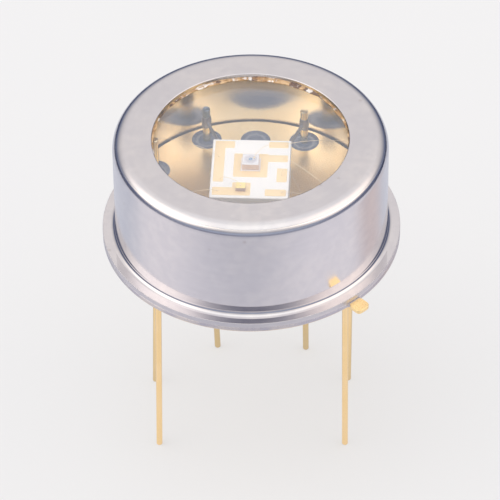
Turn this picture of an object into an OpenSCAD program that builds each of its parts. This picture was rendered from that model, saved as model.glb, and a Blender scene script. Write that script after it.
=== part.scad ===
// Thermoelectrically cooled avalanche photodiode in a round metal can with a glass window.
// z = 0 is the seating plane under the header, +Z is the optical axis, and the index tab
// points between +X and -Y. All sizes are in millimetres.

/* [Header] */
// Diameter over the welded flanges
flange_d = 15.3; // [15:0.1:16]
// Thickness of the header flange and its index tab
flange_t = 0.26; // [0.2:0.02:0.34]
// Diameter of the raised platform inside the cap
platform_d = 13.26; // [13.1:0.02:13.28]
// Height of the platform above the seating plane
platform_h = 1.4; // [1.2:0.1:1.6]
// Width of the index tab
tab_w = 0.8; // [0.6:0.1:1]
// Reach of the index tab past the flange
tab_reach = 0.8; // [0.5:0.1:1.2]
// Direction of the index tab, in degrees from +X
tab_angle = -45; // [-60:5:-30]

/* [Leads] */
// Grid that the leads stand on
pitch = 2.54; // [2.5:0.01:2.55]
// Diameter of a lead below the header
lead_d = 0.32; // [0.3:0.02:0.4]
// Diameter of its post inside the can
post_d = 0.42; // [0.42:0.02:0.5]
// Length of the leads below the seating plane
lead_drop = 13.1; // [6:0.1:14]
// Height of the posts above the platform
post_h = 2.1; // [1.8:0.1:2.4]
// Diameter of a glass seal
seal_d = 1.55; // [1.3:0.05:1.6]

/* [Cap] */
// Outside diameter of the cap's barrel
cap_d = 14; // [13.9:0.1:14.3]
// Height of the cap's top above the seating plane
cap_h = 6.3; // [6.1:0.1:6.8]
// Thickness of the drawn sheet
sheet = 0.28; // [0.24:0.02:0.3]
// Outer radius of the cap's top corner
corner_r = 0.58; // [0.45:0.01:0.65]
// Radius between the barrel and its flange
foot_r = 0.16; // [0.1:0.02:0.25]
// Diameter of the light aperture
aperture_d = 10; // [9:0.1:10.6]

/* [Window] */
// Diameter of the glass disc under the aperture
window_d = 12.2; // [11.6:0.1:12.4]
// Thickness of the glass disc
window_t = 0.6; // [0.4:0.05:0.8]
// Thickness of the fused seal between the glass and the cap
frit_t = 0.05; // [0.03:0.01:0.08]
// Width of the seal that shows inside the aperture
frit_lip = 0.12; // [0.05:0.01:0.3]

/* [Cooler] */
// Width of both cooler plates and length of the cold one
cooler_w = 3.9; // [3.6:0.1:4]
// Length of the hot plate behind the cold one, for the supply wires
cooler_ledge = 0.8; // [0.6:0.1:1]
// Thickness of each cooler plate
plate_t = 0.5; // [0.4:0.05:0.6]
// Thickness of the copper straps
strap_t = 0.1; // [0.05:0.01:0.12]
// Height of the semiconductor pellets
pellet_h = 1; // [0.8:0.1:1.2]
// Side of a pellet
pellet_w = 0.58; // [0.45:0.01:0.62]
// Diameter of the supply wires
supply_d = 0.26; // [0.2:0.02:0.3]

/* [Carrier] */
// Width of the ceramic carrier
carrier_w = 4; // [3.9:0.1:4.2]
// Length of the ceramic carrier
carrier_l = 4.5; // [4.4:0.1:4.7]
// Thickness of the ceramic carrier
carrier_t = 0.5; // [0.4:0.05:0.6]
// Offset of the cooler and its carrier along Y, which puts the chip on the axis
carrier_y = -0.28; // [-0.32:0.02:-0.24]
// Thickness of the gold traces
trace_t = 0.02; // [0.02:0.01:0.04]

/* [Chip] */
// Side of the photodiode chip
chip_w = 0.85; // [0.7:0.05:1]
// Height of the photodiode chip
chip_h = 0.35; // [0.25:0.05:0.4]
// Diameter of the light-sensitive area
active_d = 0.22; // [0.16:0.02:0.3]
// Diameter of the contact ring around it
contact_d = 0.36; // [0.34:0.02:0.5]
// Thickness of the bonding layer under the chip
bond_t = 0.03; // [0.02:0.01:0.05]

/* [Bond wires] */
// Diameter of the gold wires
wire_d = 0.03; // [0.03:0.01:0.05]
// Diameter of the ball at the start of a wire
ball_d = 0.1; // [0.09:0.01:0.14]

/* [Hidden] */
SIDES = ["left", "right"];
PLACES = ["front_left", "front_right", "mid_left", "mid_right", "back_left", "back_right"];
TRACES = ["anode", "cathode", "ground", "spare", "sensor_top", "sensor_base"];
WIRES = ["anode", "sensor", "sensor_top", "sensor_base", "anode_lead", "cathode_lead", "spare_lead", "ground"];

gold = [0.93, 0.74, 0.38];
nickel = [0.78, 0.77, 0.78];
ceramic = [0.96, 0.96, 0.95];
copper = [0.8, 0.5, 0.34];
solder = [0.62, 0.62, 0.63];
aluminium = [0.86, 0.87, 0.89];

round_fn = 96;
small_fn = 32;
far = 30;

flange_r = flange_d / 2;
platform_r = platform_d / 2;
edge_r = 0.06;
tab_corner = 0.25;
tab_overlap = 0.5;
tip_r = 0.06;

// Where the six leads and the blank seal stand, on the grid
lead_grid = [[-2, -1], [2, -1], [-2, 1], [2, 1], [-1, 2], [1, 2]];
lead_places = pitch * lead_grid;
blank_place = pitch * [0, 2];
post_top = platform_h + post_h;
seal_dip = 0.05;

barrel_r = cap_d / 2;
rim_h = flange_t + sheet;
cap_under = cap_h - sheet;
aperture_r = aperture_d / 2;
window_r = window_d / 2;
window_top = cap_under - frit_t;
frit_gap = 0.02;
frit_r = barrel_r - corner_r - frit_gap;
frit_drop = 0.35;

// Levels of the cooler stack
strap_low = platform_h + plate_t;
pellet_low = strap_low + strap_t;
pellet_top = pellet_low + pellet_h;
cold_low = pellet_top + strap_t;
carrier_low = cold_low + plate_t;
carrier_top = carrier_low + carrier_t;
trace_top = carrier_top + trace_t;
chip_low = trace_top + bond_t;
chip_top = chip_low + chip_h;
contact_t = 0.02;

// Pellets stand in a square of equal rows, inside a margin round the plates
pellet_rows = 4;
pellet_count = pellet_rows * pellet_rows;
plate_margin = 0.1;
pellet_pitch = (cooler_w - 2 * plate_margin) / pellet_rows;
strap_margin = 0.05;
strap_w = pellet_w + 2 * strap_margin;

// Supply wires run from the back posts down to the ledge of the hot plate
supply_x = 1;
supply_y = carrier_y + cooler_w / 2 + cooler_ledge / 2;
supply_z = platform_h + 1.25;
supply_run_on = 0.1;
blob_r = 0.3;
blob_h = 0.7;
blob_bite = 0.04;
fillet_r = 0.34;
fillet_h = 0.2;

// Outer edges of the gold pattern on the carrier, and the inner edge of its corner pads
pattern_x = carrier_w / 2 - 0.13;
pattern_back = carrier_y + carrier_l / 2 - 0.14;
pattern_front = carrier_y - carrier_l / 2 + 0.19;
pad_inner = 0.87;

// Where the traces begin and end along Y, and how wide and long their pads are
chip_pad_y = [-0.92, 0.87];
chip_arm_y = [0.28, 0.8];
ground_y = [-1.26, -0.22];
bar_end = -1.32;
bar_w = 0.52;
bar_foot_l = 0.53;
anode_l = 0.46;
spare_w = 1.07;
spare_l = 0.5;
base_end = 0.06;
base_l = 0.6;
base_pad_l = 0.98;

// Photodiode chip: how far its bonding layer shows, and where the contact carries its ball
bond_margin = 0.08;
contact_place = [contact_d / 2, contact_d / 4];
contact_margin = 0.02;

// Temperature sensor chip on the sensor_base trace
sensor_size = [0.5, 0.44, 0.2];
sensor_place = [-0.43, pattern_front + 0.51];
sensor_top = trace_top + sensor_size.z;
sensor_metal = 0.02;

// Bond points in plan: on the traces, and on the platform beside the cooler
anode_bond = [pad_inner + 0.1, pattern_back - 0.38];
anode_lead_bond = [pattern_x - 0.22, pattern_back - 0.33];
cathode_bond = [pattern_x - 0.22, 0.54];
ground_bond = [pattern_x - 0.27, -0.74];
spare_bond = [pattern_x - 0.22, pattern_front + 0.24];
sensor_bond = [0.37 - pattern_x, bar_end + 0.2];
sensor_top_bond = [0.22 - pattern_x, 0.6];
sensor_base_bond = [0.27 - pattern_x, pattern_front + 0.29];
platform_bond = [2.9, -0.84];
post_share = [0, 0.08, 0];

// How far the wires rise over the straight line between their ends
short_rise = 0.25;
lead_rise = 0.3;
long_rise = 0.35;
ground_rise = 1.1;

// A run of points on a circle, from angle a to angle b
function arc(centre, r, a, b, n = 10) =
    [for (i = [0:n]) let (t = a + (b - a) * i / n) centre + r * [cos(t), sin(t)]];

// A box given by two opposite corners in plan, its underside and its height
module slab(low, high, z, h) {
    translate([low.x, low.y, z]) cube([high.x - low.x, high.y - low.y, h]);
}

// A round rod between two points
module rod(a, b, d) {
    along = b - a;
    turn = atan2(along.y, along.x);
    tilt = acos(along.z / norm(along));
    translate(a) rotate([0, tilt, turn]) cylinder(d = d, h = norm(along), $fn = small_fn);
}

// Header: flange, platform and index tab are one stamped piece, pierced for the glass seals
module header() {
    profile = concat(
        [[0, 0], [flange_r - edge_r, 0], [flange_r, edge_r], [flange_r, flange_t], [platform_r, flange_t]],
        arc([platform_r - edge_r, platform_h - edge_r], edge_r, 0, 90, 4),
        [[0, platform_h]]
    );
    color(gold) difference() {
        union() {
            rotate_extrude($fn = round_fn) polygon(profile);
            rotate(tab_angle) index_tab();
        }
        for (place = concat(lead_places, [blank_place])) seal_hole(place);
    }
}

module index_tab() {
    root = flange_r - tab_overlap;
    tip = flange_r + tab_reach;
    linear_extrude(flange_t) {
        translate([root, -tab_w / 2]) square([tip - tab_corner - root, tab_w]);
        translate([root, tab_corner - tab_w / 2]) square([tip - root, tab_w - 2 * tab_corner]);
        for (side = [-1, 1])
            translate([tip - tab_corner, side * (tab_w / 2 - tab_corner)]) circle(tab_corner, $fn = small_fn);
    }
}

module seal_hole(place) {
    translate([place.x, place.y, -1]) cylinder(d = seal_d, h = platform_h + 2, $fn = small_fn);
}

// Glass seal: a fused bead, dished at both ends between its rim and its lead.
// The blank seal has no bore, and its dish is deepest in the middle.
module seal(place, bore_r) {
    r = seal_d / 2;
    half = bore_r > 0 ? (r - bore_r) / 2 : r;
    middle = r - half;
    dish_r = (half * half + seal_dip * seal_dip) / (2 * seal_dip);
    swing = asin(half / dish_r);
    inner = bore_r > 0 ? swing : 0;
    top = arc([middle, platform_h - seal_dip + dish_r], dish_r, 270 + swing, 270 - inner, 8);
    bottom = arc([middle, seal_dip - dish_r], dish_r, 90 + inner, 90 - swing, 8);
    color([0.3, 0.34, 0.4]) translate([place.x, place.y, 0])
        rotate_extrude($fn = small_fn) polygon(concat(bottom, top));
}

// Lead: a wire with a rounded tip below, a slightly thicker post in the glass and above it
module lead(place) {
    r = lead_d / 2;
    post_r = post_d / 2;
    profile = concat(
        [[0, -lead_drop]],
        arc([r - tip_r, tip_r - lead_drop], tip_r, 270, 360, 4),
        [[r, 0], [post_r, 0], [post_r, post_top - tip_r], [post_r - tip_r, post_top], [0, post_top]]
    );
    color(gold) translate([place.x, place.y, 0]) rotate_extrude($fn = small_fn) polygon(profile);
}

// Cap: one drawn sheet with a flange, a rounded shoulder and the aperture
module cap() {
    foot = [barrel_r + foot_r, rim_h + foot_r];
    shoulder = [barrel_r - corner_r, cap_h - corner_r];
    profile = concat(
        [[flange_r, flange_t]],
        arc([flange_r - edge_r, rim_h - edge_r], edge_r, 0, 90, 4),
        arc(foot, foot_r, 270, 180),
        arc(shoulder, corner_r, 0, 90, 16),
        arc([aperture_r + edge_r, cap_h - edge_r], edge_r, 90, 180, 4),
        [[aperture_r, cap_under]],
        arc(shoulder, corner_r - sheet, 90, 0),
        arc(foot, foot_r + sheet, 180, 270)
    );
    color(nickel) rotate_extrude($fn = round_fn) polygon(profile);
}

// Window: a flat glass disc, its lower edge ground to a small bevel
module window() {
    low = window_top - window_t;
    profile = [
        [0, low], [window_r - edge_r, low], [window_r, low + edge_r], [window_r, window_top], [0, window_top]
    ];
    color([0.85, 0.93, 0.96, 0.4]) rotate_extrude($fn = round_fn) polygon(profile);
}

// Window seal: fused glass between the disc and the cap, with a fillet round the disc's edge
module window_seal() {
    inner = aperture_r - frit_lip;
    profile = [
        [inner, window_top], [window_r, window_top], [window_r, window_top - frit_drop],
        [frit_r, window_top - frit_t], [frit_r, cap_under], [inner, cap_under]
    ];
    color([0.62, 0.52, 0.4]) rotate_extrude($fn = round_fn) polygon(profile);
}

// Pellets are joined in series down one column and up the next
function pellet_place(k) =
    let (
        column = floor(k / pellet_rows),
        step = k % pellet_rows,
        row = column % 2 == 0 ? pellet_rows - 1 - step : step,
        middle = (pellet_rows - 1) / 2
    )
    [(column - middle) * pellet_pitch, carrier_y + (row - middle) * pellet_pitch];

module pellets(first) {
    for (k = [first:2:pellet_count - 1]) {
        place = pellet_place(k);
        translate([place.x - pellet_w / 2, place.y - pellet_w / 2, pellet_low])
            cube([pellet_w, pellet_w, pellet_h]);
    }
}

module cooler_n_pellets() { color([0.42, 0.42, 0.44]) pellets(0); }
module cooler_p_pellets() { color([0.34, 0.34, 0.37]) pellets(1); }

// A copper strap over two neighbouring places
module strap(a, b, z) {
    half = [strap_w, strap_w] / 2;
    low = [min(a.x, b.x), min(a.y, b.y)];
    high = [max(a.x, b.x), max(a.y, b.y)];
    slab(low - half, high + half, z, strap_t);
}

module cooler_upper_straps() {
    color(copper)
        for (k = [0:2:pellet_count - 2]) strap(pellet_place(k), pellet_place(k + 1), pellet_top);
}

// The lower straps close the series, and its two ends reach out to the supply pads on the ledge
module cooler_lower_straps() {
    color(copper) {
        for (k = [1:2:pellet_count - 3]) strap(pellet_place(k), pellet_place(k + 1), strap_low);
        for (side = [-1, 1]) {
            end = pellet_place(side < 0 ? 0 : pellet_count - 1);
            strap(end, [end.x, supply_y], strap_low);
            strap([end.x, supply_y], [side * supply_x, supply_y], strap_low);
        }
    }
}

module cooler_hot_plate() {
    half = cooler_w / 2;
    color(ceramic)
        slab([-half, carrier_y - half], [half, carrier_y + half + cooler_ledge], platform_h, plate_t);
}

module cooler_cold_plate() {
    half = cooler_w / 2;
    color(ceramic) slab([-half, carrier_y - half], [half, carrier_y + half], cold_low, plate_t);
}

// Supply wires, from the post that each is soldered to down to its pad on the ledge
function supply_post(side) = [side * pitch, 2 * pitch, supply_z];
function supply_pad(side) = [side * supply_x, supply_y, pellet_low];

module supply_rod(side) {
    a = supply_post(side);
    b = supply_pad(side);
    rod(a, b + supply_run_on * (b - a), supply_d);
}

module post_core(side) {
    translate([side * pitch, 2 * pitch, 0]) cylinder(d = post_d, h = far, $fn = small_fn);
}

module supply_wire(side) {
    color(solder) difference() {
        supply_rod(side);
        post_core(side);
        translate([-far / 2, -far / 2, pellet_low - far]) cube(far);
    }
}

// Solder: a bead round the post, and a low fillet where the wire meets its pad
module supply_solder(side) {
    half = blob_h / 2;
    bulge = blob_r - post_d / 2 + blob_bite;
    bead_r = (half * half + bulge * bulge) / (2 * bulge);
    swing = asin(half / bead_r);
    color(solder) {
        difference() {
            translate(supply_post(side)) rotate_extrude($fn = small_fn)
                polygon(concat([[0, -half]], arc([blob_r - bead_r, 0], bead_r, -swing, swing), [[0, half]]));
            post_core(side);
            supply_rod(side);
        }
        difference() {
            translate(supply_pad(side))
                cylinder(r1 = fillet_r, r2 = fillet_r - fillet_h / 2, h = fillet_h, $fn = small_fn);
            supply_rod(side);
        }
    }
}

module carrier() {
    half = [carrier_w, carrier_l] / 2;
    centre = [0, carrier_y];
    color(ceramic) slab(centre - half, centre + half, carrier_low, carrier_t);
}

// Gold traces on the carrier, each a union of rectangles given by opposite corners
module trace(boxes) {
    color(gold) for (b = boxes) slab(b[0], b[1], carrier_top, trace_t);
}

module trace_anode() {
    trace([[[pad_inner, pattern_back - anode_l], [pattern_x, pattern_back]]]);
}

module trace_cathode() {
    trace([
        [[-pad_inner, chip_pad_y[0]], [pad_inner, chip_pad_y[1]]],
        [[-pad_inner, chip_arm_y[0]], [pattern_x, chip_arm_y[1]]]
    ]);
}

module trace_ground() {
    trace([[[pattern_x - bar_w, ground_y[0]], [pattern_x, ground_y[1]]]]);
}

module trace_spare() {
    trace([[[pattern_x - spare_w, pattern_front], [pattern_x, pattern_front + spare_l]]]);
}

module trace_sensor_top() {
    trace([
        [[-pattern_x, bar_end], [bar_w - pattern_x, pattern_back]],
        [[-pattern_x, pattern_back - bar_foot_l], [-pad_inner, pattern_back]]
    ]);
}

module trace_sensor_base() {
    trace([
        [[-pattern_x, pattern_front], [base_end, pattern_front + base_l]],
        [[-pad_inner, pattern_front], [base_end, pattern_front + base_pad_l]]
    ]);
}

// Photodiode chip on its bonding layer, with a contact ring round the active area
module chip_bond() {
    half = [chip_w, chip_w] / 2 + [bond_margin, bond_margin];
    color([0.8, 0.8, 0.78]) slab(-half, half, trace_top, bond_t);
}

module chip() {
    half = [chip_w, chip_w] / 2;
    color([0.45, 0.47, 0.52]) slab(-half, half, chip_low, chip_h);
}

module chip_contact() {
    color(aluminium) translate([0, 0, chip_top]) linear_extrude(contact_t) difference() {
        union() {
            circle(d = contact_d, $fn = small_fn);
            translate(contact_place) circle(d = ball_d + 2 * contact_margin, $fn = small_fn);
        }
        circle(d = active_d, $fn = small_fn);
    }
}

module temperature_sensor() {
    half = [sensor_size.x, sensor_size.y] / 2;
    color([0.34, 0.26, 0.22]) slab(sensor_place - half, sensor_place + half, trace_top, sensor_size.z);
}

module temperature_sensor_top() {
    half = [sensor_size.x, sensor_size.y] / 2;
    color(gold) slab(sensor_place - half, sensor_place + half, sensor_top, sensor_metal);
}

// Bond wire: a thin round wire that rises from its ball, arches over and comes down on its end.
// Both end rings lie flat on what they are bonded to.
wire_sides = 8;
wire_steps = 14;
ball_h = 0.05;
neck = 1.3;
wedge = 1.6;

function ring_points(centre, across, up, r) =
    [for (k = [0:wire_sides - 1]) let (t = 360 * k / wire_sides) centre + r * (cos(t) * across + sin(t) * up)];

module bond_wire(start, end, rise) {
    plan = [end.x - start.x, end.y - start.y, 0];
    ahead = plan / norm(plan);
    across = [-ahead.y, ahead.x, 0];
    foot = asin(ball_h / rise);
    begin = neck * foot;
    turns = concat(
        [[0, ball_d], [foot, ball_d], [begin, wire_d]],
        [for (k = [1:wire_steps]) [begin + (180 - 2 * begin) * k / (wire_steps + 1), wire_d]],
        [[180 - begin, wire_d], [180, wedge * wire_d]]
    );
    rings = [
        for (turn = turns)
            let (
                t = turn[0],
                centre = start + (end - start) * (1 - cos(t)) / 2 + [0, 0, rise * sin(t)],
                slope = (end - start) * sin(t) / 2 + [0, 0, rise * cos(t)],
                level = t == 0 ? ahead : t == 180 ? -ahead : cross(across, slope / norm(slope))
            )
            ring_points(centre, across, level, turn[1] / 2)
    ];
    count = len(rings);
    points = [for (ring = rings) each ring];
    walls = [
        for (i = [0:count - 2], k = [0:wire_sides - 1])
            let (
                n = (k + 1) % wire_sides,
                a = i * wire_sides + k,
                b = i * wire_sides + n,
                c = a + wire_sides,
                d = b + wire_sides
            )
            each [[a, b, d], [a, d, c]]
    ];
    ends = [
        [for (k = [wire_sides - 1:-1:0]) k],
        [for (k = [0:wire_sides - 1]) (count - 1) * wire_sides + k]
    ];
    color(gold) polyhedron(points, concat(walls, ends), convexity = 6);
}

// A point in plan, lifted to the level it is bonded at
function at(place, z) = [place.x, place.y, z];
function on_post(i) = at(lead_places[i], post_top);

// Two wires share the front right post, one behind the other
module wire(name) {
    if (name == "anode")
        bond_wire(at(contact_place, chip_top + contact_t), at(anode_bond, trace_top), lead_rise);
    if (name == "sensor")
        bond_wire(at(sensor_place, sensor_top + sensor_metal), at(sensor_bond, trace_top), short_rise);
    if (name == "sensor_top") bond_wire(at(sensor_top_bond, trace_top), on_post(2), long_rise);
    if (name == "sensor_base") bond_wire(at(sensor_base_bond, trace_top), on_post(0), lead_rise);
    if (name == "anode_lead") bond_wire(at(anode_lead_bond, trace_top), on_post(3), lead_rise);
    if (name == "cathode_lead") bond_wire(at(cathode_bond, trace_top), on_post(1) + post_share, long_rise);
    if (name == "spare_lead") bond_wire(at(spare_bond, trace_top), on_post(1) - post_share, lead_rise);
    if (name == "ground") bond_wire(at(ground_bond, trace_top), at(platform_bond, platform_h), ground_rise);
}

header();
for (i = [0:5]) {
    seal(lead_places[i], post_d / 2);
    lead(lead_places[i]);
}
seal(blank_place, 0);  // seal_blank
cap();
window();
window_seal();
cooler_hot_plate();
cooler_lower_straps();
cooler_n_pellets();
cooler_p_pellets();
cooler_upper_straps();
cooler_cold_plate();
for (i = [0, 1]) {
    supply_wire(2 * i - 1);
    supply_solder(2 * i - 1);
}
carrier();
trace_anode();
trace_cathode();
trace_ground();
trace_spare();
trace_sensor_top();
trace_sensor_base();
chip_bond();
chip();
chip_contact();
temperature_sensor();
temperature_sensor_top();
for (name = WIRES)
    wire(name);
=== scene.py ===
# %% [markdown]
# # A cooled avalanche photodiode in a windowed can
# The part is a light detector: a gold-plated header with glass-sealed leads, a drawn nickel-plated cap
# with a window, and inside it a small cooler that carries a ceramic plate, a chip and bond wires. The
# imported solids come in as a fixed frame. Each lesson below either builds a finer piece that stands for
# one of them, or gives one a finish. Lengths of pieces are in millimetres, read from a solid's box
# where it has them.

# %% Load the frame
import math

import bmesh
import bpy
from mathutils import Matrix, Vector


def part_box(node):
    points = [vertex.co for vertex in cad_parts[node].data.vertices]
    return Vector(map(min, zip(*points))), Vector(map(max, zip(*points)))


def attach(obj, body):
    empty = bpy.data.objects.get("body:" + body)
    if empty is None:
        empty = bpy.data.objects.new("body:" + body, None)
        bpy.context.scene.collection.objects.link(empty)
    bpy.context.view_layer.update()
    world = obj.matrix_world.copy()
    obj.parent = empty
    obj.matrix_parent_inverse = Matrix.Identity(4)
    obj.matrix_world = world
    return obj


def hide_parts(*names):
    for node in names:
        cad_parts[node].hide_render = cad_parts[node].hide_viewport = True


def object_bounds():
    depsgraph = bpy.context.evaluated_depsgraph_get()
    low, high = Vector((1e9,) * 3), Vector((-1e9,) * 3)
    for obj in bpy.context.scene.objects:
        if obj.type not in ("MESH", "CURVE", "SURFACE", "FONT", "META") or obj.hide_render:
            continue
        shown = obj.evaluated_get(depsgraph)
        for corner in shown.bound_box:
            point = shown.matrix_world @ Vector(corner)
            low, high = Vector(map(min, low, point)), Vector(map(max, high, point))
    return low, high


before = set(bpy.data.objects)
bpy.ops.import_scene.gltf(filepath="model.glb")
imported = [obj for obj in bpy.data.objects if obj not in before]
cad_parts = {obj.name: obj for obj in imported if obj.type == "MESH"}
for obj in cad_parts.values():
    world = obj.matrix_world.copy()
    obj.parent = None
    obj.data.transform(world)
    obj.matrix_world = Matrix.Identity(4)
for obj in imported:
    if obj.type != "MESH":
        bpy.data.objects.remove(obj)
cad_low, cad_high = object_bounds()
MM = 0.001


def box_mm(node):
    """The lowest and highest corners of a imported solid, in mm."""
    return [[round(v / MM, 3) for v in corner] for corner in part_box(node)]


print("CAD box in mm:", [round(v / MM, 2) for v in (*cad_low, *cad_high)])

# %% [markdown]
# The camera comes first, because every later choice is judged through it. The photograph looks down at
# the window at about 42 degrees. It could be matched with a shifted wide lens, but a long lens far off
# keeps the circles nearly true ellipses, as they are there. The small roll turns the picture as the
# photograph is turned.

# %% Camera
AZIMUTH, ELEVATION, ROLL = math.radians(3.0), math.radians(42.15), math.radians(-0.7)
DISTANCE, SENSOR, FRAME_PX, FOCAL_PX = 220 * MM, 36.0, 500, 4252.8
AIM_UP, AIM_RIGHT = -1.375 * MM, -0.09 * MM
NEAREST, FARTHEST = 0.01, 10


def toward(azimuth, elevation):
    """The direction to a place round the part. Azimuth 0 is the front."""
    level = math.cos(elevation)
    return Vector((math.sin(azimuth) * level, -math.cos(azimuth) * level, math.sin(elevation)))


camera_back = toward(AZIMUTH, ELEVATION)
camera_right = Vector((math.cos(AZIMUTH), math.sin(AZIMUTH), 0))
camera_up = camera_back.cross(camera_right)
lens = bpy.data.cameras.new("long_lens")
lens.sensor_width = SENSOR
lens.lens = FOCAL_PX * SENSOR / FRAME_PX
lens.clip_start, lens.clip_end = NEAREST, FARTHEST
camera = bpy.data.objects.new("camera", lens)
stand = Vector((0, 0, AIM_UP)) + camera_right * AIM_RIGHT + camera_back * DISTANCE
facing = Matrix((camera_right, camera_up, camera_back)).transposed()
camera.matrix_world = Matrix.Translation(stand) @ (facing @ Matrix.Rotation(ROLL, 3, "Z")).to_4x4()
bpy.context.scene.collection.objects.link(camera)
bpy.context.scene.camera = camera
bpy.context.scene.view_settings.view_transform = "Standard"
print("lens", round(lens.lens, 1), "mm")

# %% [markdown]
# A material is a small tree of nodes. It could be drawn by hand in the node editor; in a script, these
# helpers add a node and fill its sockets in one line, so that the cells further down read as recipes. A
# socket takes a plain value or the output of another node.

# %% Node helpers
def fill(tree, socket, value):
    if isinstance(value, bpy.types.NodeSocket):
        tree.links.new(value, socket)
    elif value is not None:
        socket.default_value = value


def put(tree, kind, settings=None, **sockets):
    made = tree.nodes.new("ShaderNode" + kind)
    for key, value in (settings or {}).items():
        setattr(made, key, value)
    for name, value in sockets.items():
        fill(tree, made.inputs[name.replace("_", " ")], value)
    return made


def maths(tree, operation, *values):
    made = put(tree, "Math", {"operation": operation})
    for socket, value in zip(made.inputs, values):
        fill(tree, socket, value)
    return made.outputs[0]


def mixed(tree, factor, a, b):
    made = put(tree, "Mix", {"data_type": "RGBA"})
    for name, value in (("Factor_Float", factor), ("A_Color", a), ("B_Color", b)):
        fill(tree, next(s for s in made.inputs if s.identifier == name), value)
    return next(s for s in made.outputs if s.identifier == "Result_Color")


def ranged(tree, value, low, high, to_low, to_high):
    made = put(tree, "MapRange", {"interpolation_type": "SMOOTHSTEP"}, Value=value)
    for name, bound in (("From Min", low), ("From Max", high), ("To Min", to_low), ("To Max", to_high)):
        fill(tree, made.inputs[name], bound)
    return made.outputs["Result"]


def rgb(r, g, b):
    return (r, g, b, 1.0)


print("node helpers ready")

# %% [markdown]
# Most finishes here change with place: the flange differs from the wall, the inside from the outside.
# That could be painted on an unwrapped mesh. A round part needs no unwrapping, though, because the
# distance from the axis and the height already say where a point is. A last helper swaps one shader for
# another.

# %% Place helpers
def millimetres(tree):
    """The place on the part, in mm."""
    place = put(tree, "TexCoord").outputs["Object"]
    scaled = put(tree, "VectorMath", {"operation": "SCALE"}, Vector=place, Scale=1 / MM)
    return scaled.outputs["Vector"]


def off_axis(tree):
    """The place seen from above, as a vector from the axis, and the height."""
    spot = put(tree, "SeparateXYZ", Vector=millimetres(tree)).outputs
    return put(tree, "CombineXYZ", X=spot["X"], Y=spot["Y"]).outputs["Vector"], spot["Z"]


def from_axis(tree):
    """The distance from the axis and the height, in mm."""
    flat, height = off_axis(tree)
    return put(tree, "VectorMath", {"operation": "LENGTH"}, Vector=flat).outputs["Value"], height


def either(tree, factor, first, second, output):
    """Shows the second shader in place of the first by the factor."""
    blend = put(tree, "MixShader", Fac=factor)
    tree.links.new(first.outputs[0], blend.inputs[1])
    tree.links.new(second.outputs[0], blend.inputs[2])
    tree.links.new(blend.outputs["Shader"], output.inputs["Surface"])


print("place helpers ready")

# %% [markdown]
# Effects that more than one finish uses are node groups with named sockets, so that each material only
# sets its own values. Plated metal and fired ceramic are never quite even, so the first two groups give
# a cloud of a second tint and a fine grain. Each group puts out only a colour, a mask or a value.

# %% Cloudy tint and fine grain
KINDS = {"color": "NodeSocketColor", "value": "NodeSocketFloat"}


def effect(name, inputs, outputs):
    tree = bpy.data.node_groups.new(name, "ShaderNodeTree")
    for socket, kind, default in inputs:
        made = tree.interface.new_socket(name=socket, in_out="INPUT", socket_type=KINDS[kind])
        made.default_value = default
    for socket, kind in outputs:
        tree.interface.new_socket(name=socket, in_out="OUTPUT", socket_type=KINDS[kind])
    return tree, tree.nodes.new("NodeGroupInput").outputs, tree.nodes.new("NodeGroupOutput").inputs


def place(tree, group, **values):
    made = tree.nodes.new("ShaderNodeGroup")
    made.node_tree = group
    for name, value in values.items():
        fill(tree, made.inputs[name], value)
    return made.outputs


cloudy, given, result = effect(
    "Cloudy tint",
    [
        ("Base", "color", rgb(1, 1, 1)), ("Tint", "color", rgb(1, 1, 1)),
        ("Size", "value", 2.0), ("Amount", "value", 0.5),
    ],
    [("Color", "color")],
)
puffs = put(cloudy, "TexNoise", Vector=millimetres(cloudy), Detail=3.0)
fill(cloudy, puffs.inputs["Scale"], maths(cloudy, "DIVIDE", 1.0, given["Size"]))
share = ranged(cloudy, puffs.outputs["Fac"], 0.35, 0.65, 0.0, 1.0)
share = maths(cloudy, "MULTIPLY", share, given["Amount"])
fill(cloudy, result["Color"], mixed(cloudy, share, given["Base"], given["Tint"]))

grain, given, result = effect(
    "Fine grain",
    [("Size", "value", 0.05), ("Low", "value", 0.2), ("High", "value", 0.3)],
    [("Value", "value"), ("Height", "value")],
)
fine = put(grain, "TexNoise", Vector=millimetres(grain), Detail=4.0)
fill(grain, fine.inputs["Scale"], maths(grain, "DIVIDE", 1.0, given["Size"]))
fill(grain, result["Value"], ranged(grain, fine.outputs["Fac"], 0.3, 0.7, given["Low"], given["High"]))
fill(grain, result["Height"], fine.outputs["Fac"])


def clouded(tree, base, tint, size, amount):
    return place(tree, cloudy, Base=base, Tint=tint, Size=size, Amount=amount)["Color"]


print("effects:", cloudy.name, "and", grain.name)

# %% [markdown]
# Drawing a cap or turning a part leaves long faint lines round it. A noise would give blots; stretched
# round the axis, by reading it with the heading instead of the place, it gives lines. Specks are a few
# cells of a cell pattern, picked by a threshold and shrunk to dots.

# %% Turned streaks and specks
streaks, given, result = effect(
    "Turned streaks",
    [("Around", "value", 3.0), ("Across", "value", 0.15), ("Low", "value", 0.1), ("High", "value", 0.2)],
    [("Value", "value"), ("Height", "value")],
)
flat, height = off_axis(streaks)
radius = put(streaks, "VectorMath", {"operation": "LENGTH"}, Vector=flat).outputs["Value"]
unit = put(streaks, "VectorMath", {"operation": "NORMALIZE"}, Vector=flat).outputs["Vector"]
heading = put(streaks, "SeparateXYZ", Vector=unit).outputs
lane = put(
    streaks, "CombineXYZ",
    X=maths(streaks, "MULTIPLY", heading["X"], given["Around"]),
    Y=maths(streaks, "MULTIPLY", heading["Y"], given["Around"]),
    Z=maths(streaks, "DIVIDE", maths(streaks, "ADD", height, radius), given["Across"]),
).outputs["Vector"]
lines = put(streaks, "TexNoise", Vector=lane, Scale=1.0, Detail=5.0)
fill(streaks, result["Value"], ranged(streaks, lines.outputs["Fac"], 0.3, 0.7, given["Low"], given["High"]))
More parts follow.
